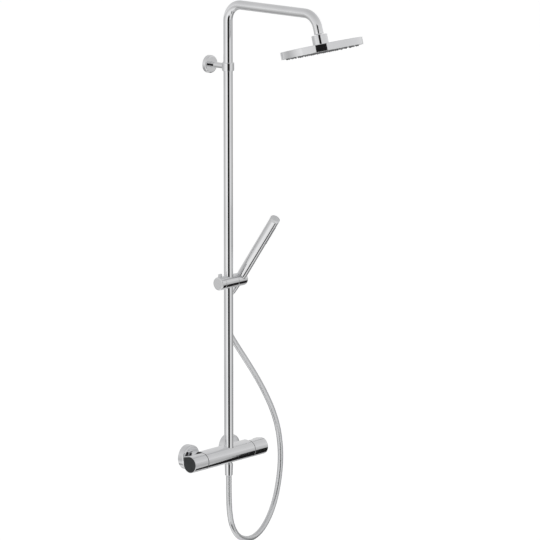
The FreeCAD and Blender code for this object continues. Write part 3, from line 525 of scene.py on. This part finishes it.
def arm_path():
    z0, zt, r, reach = 970.1, 1127.0, 42.0, 279.0
    pts = [(AX, AY, z0), (AX, AY, z0 + 40), (AX, AY, z0 + 80)]
    for k in range(25):
        q = math.pi / 2 * k / 24
        pts.append((AX, AY - r + r * math.cos(q), zt - r + r * math.sin(q)))
    turn = math.pi / 2 - DROP
    tan = r * math.tan(turn / 2)
    y1 = AY - reach + tan
    for k in range(1, 6):
        pts.append((AX, (AY - r) + (y1 - (AY - r)) * k / 6, zt))
    for k in range(21):
        q = math.pi / 2 + turn * k / 20
        pts.append((AX, y1 + r * math.cos(q), zt - r + r * math.sin(q)))
    down = Vector((0, -math.sin(DROP), -math.cos(DROP)))
    end = Vector((AX, AY - reach, zt)) + down * 48.0
    last = Vector(pts[-1])
    for k in (0.5, 1.0):
        pts.append(tuple(last.lerp(end, k)))
    return pts


attach(sweep("shower_arm", arm_path(), 11.5, 128, CHROME_TUBE, bore=10.0), "column", ["arm_tube"])
BZ = 972.0
attach(
    lathe("bracket_disc", [(20.6, 0), (22.0, 0, 0.2), (22.0, 12.0, 3.5), (7.1, 12.0, 0.3), (7.1, 10.4), (18.1, 10.4, 2.0), (20.6, 7.9, 1.0)], (AX, 0, BZ), "out", CHROME, 128),
    "column", ["bracket_flange"],
)
post = lathe("bracket_arm", [(4.1, 4.2), (7.0, 4.2), (7.0, 56), (0, 56), (0, 12), (4.1, 12)], (AX, 0, BZ), "out", CHROME, 72)
boolean(post, [lathe("saddle", [(0, 0), (15.03, 0), (15.03, 30), (0, 30)], (AX, AY, BZ - 15), "up", CHROME, 96)])
attach(post, "column", ["bracket_post"])
attach(
    lathe("bracket_clamp", [(11.58, 0, 0.25), (15.0, 0, 0.8), (15.0, 20, 0.8), (11.58, 20, 0.25)], (AX, AY, BZ - 10), "up", CHROME, 128),
    "column", ["bracket_ring"],
)

# ------------------------------------------------------------------ slider
def at_slider(x):
    return (AX + x, AY, SLIDER_Z)


carrier = lathe("slider_barrel", [(0, 0), (16.5, 0, 0.4), (16.5, 22), (16.5, 45.7, 0.4), (0, 45.7)], at_slider(-24.2), "right", CHROME, 128)
boolean(
    carrier,
    [
        lathe("c1", [(0, -25), (12.25, -25), (12.25, -15.7), (11.9, -15.3), (11.9, -9.7), (13.1, -9.7), (13.1, 9.7), (11.9, 9.7), (11.9, 15.3), (12.25, 15.7), (12.25, 25), (0, 25)], (AX, AY, SLIDER_Z), "up", CHROME, 96),
        lathe("c2", [(0, -1), (4.1, -1), (4.1, 12.6), (0, 12.6)], at_slider(-24.2), "right", CHROME, 48),
        lathe("c3", [(6.9, 43.6), (12.1, 43.6), (12.1, 47), (6.9, 47)], at_slider(-24.2), "right", CHROME, 64),
        lathe("c4", [(0, 38.1), (4.55, 38.1), (4.55, 47), (0, 47)], at_slider(-24.2), "right", CHROME, 48),
    ],
)
attach(carrier, "slider", ["slider_body"])
attach(
    lathe("lock_disc", [(4.05, 0), (16.5, 0, 0.4), (16.5, 14.4, 3.0), (0, 14.4), (0, 6.6), (4.05, 6.6)], at_slider(-24.6), "left", CHROME, 128),
    "lock_knob", ["slider_knob"],
)


def soft_box(name, lo, hi, radius, mat, segs=4):
    bm = bmesh.new()
    bmesh.ops.create_cube(bm, size=1.0)
    lo, hi = Vector(lo) * MM, Vector(hi) * MM
    for v in bm.verts:
        v.co = Vector(((lo[i] + hi[i]) / 2 + v.co[i] * (hi[i] - lo[i]) for i in range(3)))
    bmesh.ops.bevel(bm, geom=list(bm.edges) + list(bm.verts), offset=radius * MM, segments=segs, profile=0.5, affect="EDGES")
    me = bpy.data.meshes.new(name)
    bm.to_mesh(me)
    bm.free()
    me.polygons.foreach_set("use_smooth", [True] * len(me.polygons))
    me.set_sharp_from_angle(angle=math.radians(60))
    ob = bpy.data.objects.new(name, me)
    scene.collection.objects.link(ob)
    me.materials.append(mat)
    return ob


attach(soft_box("lock_tab", (AX - 36.6, AY - 2.2, SLIDER_Z + 13), (AX - 25.6, AY + 2.2, SLIDER_Z + 24), 1.2, CHROME), "lock_knob")

drum = lathe("holder_drum", [(0, 0), (16.5, 0, 0.4), (16.5, 33.5, 3.0), (0, 33.5)], at_slider(22.0), "right", CHROME, 128)
taper = (11.9 - 8.3) / 58.9
lean_m = ROT["lean"]


def lean_box(name, lo, hi):
    ob = soft_box(name, lo, hi, 0.01, CHROME, 1)
    ob.data.transform(Matrix.Translation(Vector(STICK) * MM) @ lean_m)
    return ob


boolean(
    drum,
    [
        lathe("c1", [(0, -30), (8.3 + taper * 12 + 0.12, -30), (8.3 + taper * 72 + 0.12, 30), (0, 30)], STICK, "lean", CHROME, 96),
        lean_box("c2", (0, -7.8, -30), (24, 7.8, 30)),
        lathe("c3", [(0, -0.1), (4.6, -0.1), (4.6, 5.1), (0, 5.1)], at_slider(22.0), "right", CHROME, 48),
    ],
)
attach(drum, "holder", ["handset_holder"])

# ----------------------------------------------------------------- handset
attach(
    lathe("wand", [(6.5, 17.2), (12.5, 17.2, 1.5), (12.5, 80), (12.5, 140), (12.5, 199.9, 0.35), (10.4, 199.9), (10.4, 31), (6.5, 31)], STICK, "lean", CHROME_TUBE, 128),
    "handset", ["handset_body"],
)
attach(
    lathe("wand_end", [(0, 196), (10.35, 196), (10.35, 200.1), (12.45, 200.1, 0.3), (12.45, 206, 2.2), (0, 206)], STICK, "lean", GREY, 128),
    "handset", ["handset_cap"],
)


def curved_patch(name, r0, r1, half_deg, t0, t1, corner, mat):
    """A plate wrapped on the wand's underside, with rounded ends."""
    n, m_ = 24, 28
    rings = []
    mw = place(STICK, "lean")
    for i in range(m_ + 1):
        u = i / m_
        t = t0 + (t1 - t0) * u
        edge = min(t - t0, t1 - t)
        w = 1.0 if edge >= corner else math.sqrt(max(0.0, 1 - (1 - edge / corner) ** 2)) * 0.75 + 0.25
        top = [(r1, math.radians(half_deg) * w * (2 * k / n - 1)) for k in range(n + 1)]
        low = [(r0, math.radians(half_deg) * w * (1 - 2 * k / n)) for k in range(n + 1)]
        rings.append([mw @ (Vector((r * math.sin(q), -r * math.cos(q), t)) * MM) for r, q in top + low])
    return loft(name, rings, mat, sharp=40)


attach(curved_patch("wand_face", 12.3, 12.68, 20, 126.2, 187.8, 5.0, CHROME_TUBE), "handset", ["handset_spray_plate"])


def scatter(name, spots, profile, mat, seg=14):
    """One small turned shape repeated at many (matrix) spots."""
    v0, f0 = lathe_data(profile, seg, False)
    verts, faces = [], []
    for m in spots:
        off = len(verts)
        verts += [m @ (Vector(p) * MM) for p in v0]
        faces += [tuple(i + off for i in q) for q in f0]
    return finish_mesh(name, verts, faces, mat, 50)


spots = []
for row in (-1, 0, 1):
    for i in range(12):
        t = 132.0 + i * 4.6 + (2.3 if row == 0 else 0)
        q = math.radians(row * 13.0)
        radial = Vector((math.sin(q), -math.cos(q), 0))
        local = Matrix.Translation((radial * 12.6 + Vector((0, 0, t))) * MM) @ radial.to_track_quat("Z", "Y").to_matrix().to_4x4()
        spots.append(place(STICK, "lean") @ local)
attach(scatter("wand_nozzles", spots, [(0, 0), (0.85, 0), (0.6, 0.95, 0.2), (0.3, 1.0), (0.25, 0.6), (0, 0.6)], RUBBER), "handset", ["handset_nozzles"])

attach(
    lathe(
        "cone_nut",
        [(4.6, -42), (8.3, -42, 0.5), (9.0, -30.0), (9.12, -28.5, 0.2), (8.85, -28.2), (8.85, -27.4), (9.22, -27.1, 0.2), (11.9, 16.9, 0.6), (8.3, 16.9), (8.3, 2), (4.6, 2)],
        STICK, "lean", CHROME, 128,
    ),
    "hose_end", ["hose_cone_nut"],
)
attach(
    lathe("outlet_nut", [(8.4, 0), (10.4, 0, 0.5), (10.4, 4.0), (10.37, 5.0), (10.34, 6.0), (9.55, 28.5), (9.5, 30, 0.6), (4.6, 30), (4.6, 16), (8.4, 16)], (AX, AY, -23.0), "down", CHROME, 96),
    "column", ["hose_outlet_nut"],
)

# ------------------------------------------------------------------- hose
ROUTE = [
    (53.5, -20.4, 365.4),
    (59.0, -16.8, 334.0),
    (64.0, -16.5, 294.0),
    (94.8, -20.5, 250.5),
    (122.6, -28.6, 208.0),
    (149.6, -36.0, 165.1),
    (174.6, -41.9, 121.3),
    (196.8, -46.6, 75.9),
    (212.6, -49.8, 28.7),
    (220.0, -51.2, -20.3),
    (220.6, -51.0, -66.0),
    (213.8, -50.5, -111.4),
    (199.2, -50.9, -158.0),
    (173.0, -52.5, -199.0),
    (136.5, -55.0, -228.0),
    (95.0, -57.9, -236.5),
    (50.0, -60.6, -222.0),
    (22.5, -62.8, -186.0),
    (12.3, -64.2, -143.0),
    (10.2, -64.8, -101.0),
]
lean_axis = Vector((0, -math.sin(LEAN), math.cos(LEAN)))
route = [Vector(STICK) - lean_axis * 42.0, Vector(STICK) - lean_axis * 60.0]
route += [Vector(p) for p in ROUTE] + [Vector((AX, AY, -73.0)), Vector((AX, AY, -53.0))]
crv = bpy.data.curves.new("hose_line", "CURVE")
crv.dimensions = "3D"
sp = crv.splines.new("NURBS")
sp.points.add(len(route) - 1)
for q, p in zip(sp.points, route):
    q.co = (*(p * MM), 1.0)
sp.order_u = 3
sp.use_endpoint_u = True
crv.resolution_u = 24
line_ob = bpy.data.objects.new("hose_line", crv)
scene.collection.objects.link(line_ob)
bpy.context.view_layer.update()
line_me = bpy.data.meshes.new_from_object(line_ob.evaluated_get(bpy.context.evaluated_depsgraph_get()))
raw = [v.co.copy() for v in line_me.vertices]
bpy.data.objects.remove(line_ob)
if (raw[0] - route[0] * MM).length > (raw[-1] - route[0] * MM).length:
    raw.reverse()
# even steps of about 2.5 mm, from the outlet (first) to the cone nut (last)
raw.reverse()
acc = [0.0]
for p, q in zip(raw, raw[1:]):
    acc.append(acc[-1] + (q - p).length)
total = acc[-1]
count = int(total / 0.0025)
line = []
j = 0
for i in range(count + 1):
    s = total * i / count
    while j < len(acc) - 2 and acc[j + 1] < s:
        j += 1
    w = 0 if acc[j + 1] == acc[j] else (s - acc[j]) / (acc[j + 1] - acc[j])
    line.append(raw[j].lerp(raw[j + 1], w))
HOSE_R, HSEG = 0.007, 48
tangent = [(line[min(i + 1, count)] - line[max(i - 1, 0)]).normalized() for i in range(count + 1)]
normal = Vector((0, 1, 0))
hose_rings = []
for i, (c, t) in enumerate(zip(line, tangent)):
    normal = (normal - t * normal.dot(t)).normalized()
    bi = t.cross(normal)
    hose_rings.append([c + normal * (HOSE_R * math.cos(q)) + bi * (HOSE_R * math.sin(q)) for q in (2 * math.pi * k / HSEG for k in range(HSEG))])


def hose_piece(name, i0, i1, cap0=False, cap1=False):
    rings = hose_rings[i0 : i1 + 1]
    n = HSEG
    v = [p for r in rings for p in r]
    f = [(i * n + k, i * n + (k + 1) % n, (i + 1) * n + (k + 1) % n, (i + 1) * n + k) for i in range(len(rings) - 1) for k in range(n)]
    me = bpy.data.meshes.new(name)
    me.from_pydata([tuple(p) for p in v], [], f)
    if cap0 or cap1:
        bm = bmesh.new()
        bm.from_mesh(me)
        bm.verts.ensure_lookup_table()
        if cap0:
            bm.faces.new([bm.verts[k] for k in range(n)][::-1])
        if cap1:
            bm.faces.new([bm.verts[(len(rings) - 1) * n + k] for k in range(n)])
        bm.to_mesh(me)
        bm.free()
    uvl = me.uv_layers.new(name="UVMap")
    for poly in me.polygons:
        for li in poly.loop_indices:
            vi = me.loops[li].vertex_index
            ring_i, k = divmod(vi, n)
            u = k / n
            if k == 0 and any(me.loops[x].vertex_index % n == n - 1 for x in poly.loop_indices):
                u = 1.0
            uvl.data[li].uv = (u * 2 * math.pi * HOSE_R, (i0 + ring_i) * total / count)
    me.polygons.foreach_set("use_smooth", [len(p.vertices) == 4 for p in me.polygons])
    me.materials.append(HOSE)
    ob = bpy.data.objects.new(name, me)
    scene.collection.objects.link(ob)
    return ob


def index_where(test, start=0):
    return next(i for i in range(start, count + 1) if test(line[i]))


low_i = min(range(count + 1), key=lambda i: line[i].z)
cuts = [
    index_where(lambda p: p.z > 0.000, low_i),
    index_where(lambda p: p.z > 0.200, low_i),
    index_where(lambda p: p.z > 0.322, low_i),
]
spans = [(0, cuts[0]), (cuts[0], cuts[1]), (cuts[1], cuts[2]), (cuts[2], count)]
names = ["hose_loop", "hose_rise", "hose_neck", "hose_end"]
hose_parts = [hose_piece(nm, i0, i1, i0 == 0, i1 == count) for nm, (i0, i1) in zip(names, spans)]
loop, rise, neck, end = hose_parts
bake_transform(loop)
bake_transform(rise)
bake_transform(neck)
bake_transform(end)
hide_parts("hose")
print("hose length", round(total, 4))

# --------------------------------------------------------------- rain head
attach(
    lathe(
        "ball_nut",
        [(9.9, 55.0), (9.9, 54.5), (17.9, 49.5, 0.4), (19.2, 49.5, 0.5), (19.2, 73.3, 0.4), (16.0, 73.3), (16.0, 55.0)],
        CORNER, "head", CHROME, 128,
    ),
    "rain_head", ["head_collar"],
)
attach(
    lathe(
        "head_dish",
        [(8, 72.0), (15.8, 72.0), (15.8, 73.5), (60, 73.5), (100, 73.5, 0.9), (100, 82), (100, 91.5, 0.9), (98.4, 91.5, 0.2), (98.4, 75.1), (8, 75.1)],
        CORNER, "head", CHROME, 256,
    ),
    "rain_head", ["head_shell"],
)
attach(
    lathe("head_face", [(0, 88.6), (98.2, 88.6), (98.2, 91.1, 0.3), (60, 91.25), (0, 91.25)], CORNER, "head", SATIN, 192),
    "rain_head", ["head_spray_plate"],
)
spots = []
mh = place(CORNER, "head")
for k in range(0, 7):
    n = 1 if k == 0 else 6 * k
    r = 0 if k == 0 else 15.0 * k - 3
    for i in range(n):
        q = 2 * math.pi * i / n
        spots.append(mh @ Matrix.Translation(Vector((r * math.cos(q), r * math.sin(q), 91.2)) * MM))
attach(
    scatter("head_nozzles", spots, [(0, -0.4), (2.3, -0.4), (2.3, 0.15, 0.1), (1.75, 0.2), (1.35, 2.6, 0.35), (0.6, 2.65), (0.5, 1.4), (0, 1.4)], RUBBER, 18),
    "rain_head", ["head_nozzle_mat"],
)

# --------------------------------------------- finishes on the kept CAD nodes
record = frame["record"]
slot_of = {s["node"]: s["material_slot"] for s in record["subparts"]}
for n, ob in frame["nodes"].items():
    if ob.hide_render:
        continue
    m = SLOT_MAT[slot_of[n]]
    ob.data.materials.clear()
    ob.data.materials.append(m)
    ob.data.polygons.foreach_set("use_smooth", [True] * len(ob.data.polygons))
    ob.data.set_sharp_from_angle(angle=math.radians(30))

# --------------------------------------------------- floor, light, studio
FLOOR_Z = -1.15
floor_m, nt, p = material("pale_floor")
p.inputs["Base Color"].default_value = (0.92, 0.92, 0.92, 1)
p.inputs["Emission Color"].default_value = (1, 1, 1, 1)
p.inputs["Emission Strength"].default_value = 0.42
p.inputs["Roughness"].default_value = 0.9
p.inputs["Specular IOR Level"].default_value = 0.1
me = bpy.data.meshes.new("floor")
me.from_pydata([(-40, -40, FLOOR_Z), (40, -40, FLOOR_Z), (40, 40, FLOOR_Z), (-40, 40, FLOOR_Z)], [], [(0, 1, 2, 3)])
floor = bpy.data.objects.new("floor", me)
scene.collection.objects.link(floor)
me.materials.append(floor_m)


def flag(ob):
    """A studio flag: shows only in reflections."""
    ob.visible_camera = False
    ob.visible_diffuse = False
    ob.visible_shadow = False
    ob.visible_transmission = False


# Panels that stand round the object; azimuths count from the camera's, in
# degrees, positive to the right of the view. Their glow is stored per corner.
VIEW_AZ = math.atan2(back.y, back.x)
GLOW = bpy.data.materials.new("flag_glow")
GLOW.use_nodes = True
gt = GLOW.node_tree
gt.nodes.clear()
g_out = gt.nodes.new("ShaderNodeOutputMaterial")
g_em = gt.nodes.new("ShaderNodeEmission")
g_at = gt.nodes.new("ShaderNodeAttribute")
g_at.attribute_name = "glow"
gt.links.new(g_at.outputs["Color"], g_em.inputs["Color"])
gt.links.new(g_em.outputs[0], g_out.inputs[0])


def glowing(name, verts, faces, values):
    me = bpy.data.meshes.new(name)
    me.from_pydata(verts, [], faces)
    col = me.color_attributes.new("glow", "FLOAT_COLOR", "POINT")
    for d, v in zip(col.data, values):
        d.color = (v, v, v * 1.004, 1)
    ob = bpy.data.objects.new(name, me)
    scene.collection.objects.link(ob)
    me.materials.append(GLOW)
    flag(ob)


def panel(name, knots, z0, z1, radius):
    """knots: (azimuth, value at the foot, value at the top)."""
    v, vals = [], []
    for (q0, a0, b0), (q1, a1, b1) in zip(knots, knots[1:]):
        n = max(1, int(abs(q1 - q0) / 3))
        for k in range(n + (1 if (q1, a1, b1) == knots[-1] else 0)):
            w = k / n
            q = VIEW_AZ + math.radians(q0 + (q1 - q0) * w)
            v += [(radius * math.cos(q), radius * math.sin(q), z0), (radius * math.cos(q), radius * math.sin(q), z1)]
            vals += [a0 + (a1 - a0) * w, b0 + (b1 - b0) * w]
    f = [(2 * k, 2 * k + 2, 2 * k + 3, 2 * k + 1) for k in range(len(v) // 2 - 1)]
    glowing(name, v, f, vals)


LOW = [
    (31, 0.40, 0.35), (36, 0.66, 0.60), (42, 0.80, 0.74), (57, 0.84, 0.82), (70, 0.70, 0.72),
    (78, 0.58, 0.64), (90, 0.52, 0.66), (97, 0.48, 0.66), (103, 0.26, 0.50), (112, 0.20, 0.42),
    (122, 0.26, 0.46), (141, 0.40, 0.56), (160, 0.50, 0.66), (180, 0.56, 0.72), (200, 0.60, 0.74),
    (220, 0.68, 0.72), (235, 0.56, 0.64), (257, 0.46, 0.56), (272, 0.52, 0.66), (283, 0.60, 0.74),
    (300, 0.80, 0.84), (310, 0.90, 0.92), (324, 0.98, 0.98), (348, 0.97, 0.97),
]
panel("flag_ring", LOW, FLOOR_Z + 0.01, 0.85, 4.0)
panel("flag_front", [(-12, 0.012, 0.012), (17, 0.012, 0.012)], FLOOR_Z + 0.01, 2.6, 4.0)
panel("flag_front_low", [(17, 0.012, 0.012), (31, 0.02, 0.02)], FLOOR_Z + 0.01, 0.85, 4.0)

FWD = Vector((back.x, back.y, 0)).normalized()


def strip(name, f0, f1, r0, r1, value):
    """A low panel just over the floor, square to the view: f towards the camera, r to its right."""
    v = []
    for fw, rt in ((f0, r0), (f0, r1), (f1, r1), (f1, r0)):
        q = FWD * fw + right * rt
        v.append((q.x, q.y, FLOOR_Z + 0.02))
    glowing(name, v, [(0, 1, 2, 3)], [value] * 4)


def ring_value(az):
    """The foot value of the ring at an azimuth, degrees."""
    az = az % 360
    k = LOW + [(373, 0.30, 0.3), (391, 0.40, 0.35)]
    if az < 31:
        az += 360
    for (q0, a0, _), (q1, a1, _) in zip(k, k[1:]):
        if q0 <= az <= q1:
            return a0 + (a1 - a0) * (az - q0) / (q1 - q0)
    return 0.5


def floor_glow():
    """What the floor shows in reflections: bright in front and to the left, dimmer to the right and behind."""
    radii = [0.0, 0.6, 1.2, 1.8, 2.4, 3.0, 3.6, 4.2, 6.0, 12.0]
    n = 120
    v, vals, f = [], [], []
    for r in radii:
        for k in range(n):
            az = 360.0 * k / n
            q = VIEW_AZ + math.radians(az)
            near = 0.78 + 0.13 * math.cos(math.radians(az + 45))
            t = smooth01((r - 1.0) / 2.4)
            v.append((r * math.cos(q), r * math.sin(q), FLOOR_Z + 0.012))
            vals.append(near * (1 - t) + ring_value(az) * t)
    for i in range(len(radii) - 1):
        for k in range(n):
            f.append((i * n + k, i * n + (k + 1) % n, (i + 1) * n + (k + 1) % n, (i + 1) * n + k))
    glowing("flag_floor", v, f, vals)


floor_glow()


def skirt(name, az0, az1, r0, r1, value):
    v, n = [], 8
    for k in range(n + 1):
        q = VIEW_AZ + math.radians(az0 + (az1 - az0) * k / n)
        v += [(r0 * math.cos(q), r0 * math.sin(q), FLOOR_Z + 0.02), (r1 * math.cos(q), r1 * math.sin(q), FLOOR_Z + 0.02)]
    glowing(name, v, [(2 * k, 2 * k + 2, 2 * k + 3, 2 * k + 1) for k in range(n)], [value] * len(v))


skirt("flag_foot", -12, 31, 2.5, 4.0, 0.014)
strip("flag_low_right", -1.08, -0.45, 0.70, 4.6, 0.012)
strip("flag_low_behind", -3.2, -1.08, -0.6, 3.4, 0.46)
strip("flag_low_near", 0.42, 0.86, -0.40, 0.90, 0.012)
strip("flag_low_left", -2.2, -0.2, -3.2, -0.9, 0.38)

world = bpy.data.worlds.new("studio")
scene.world = world
world.use_nodes = True
wt = world.node_tree
wt.nodes.clear()
wo = wt.nodes.new("ShaderNodeOutputWorld")
bg = wt.nodes.new("ShaderNodeBackground")
tc = wt.nodes.new("ShaderNodeTexCoord")
sep = wt.nodes.new("ShaderNodeSeparateXYZ")
ramp = wt.nodes.new("ShaderNodeValToRGB")
ramp.color_ramp.elements[0].position = 0.0
ramp.color_ramp.elements[0].color = (0.80, 0.80, 0.805, 1)
ramp.color_ramp.elements[1].position = 1.0
ramp.color_ramp.elements[1].color = (0.56, 0.56, 0.565, 1)
wt.links.new(tc.outputs["Generated"], sep.inputs[0])
wt.links.new(sep.outputs["Z"], ramp.inputs["Fac"])
wt.links.new(ramp.outputs["Color"], bg.inputs["Color"])
bg.inputs["Strength"].default_value = 1.0
wt.links.new(bg.outputs[0], wo.inputs[0])

key = bpy.data.lights.new("key", "AREA")
key.shape, key.size = "DISK", 3.0
key.energy = 90.0
key_ob = bpy.data.objects.new("key", key)
scene.collection.objects.link(key_ob)
key_ob.visible_glossy = False
key_ob.location = (-3.5, -5.0, 4.5)
key_ob.rotation_mode = "QUATERNION"
key_ob.rotation_quaternion = (key_ob.location - Vector((0, -0.1, 0.5))).to_track_quat("Z", "Y")
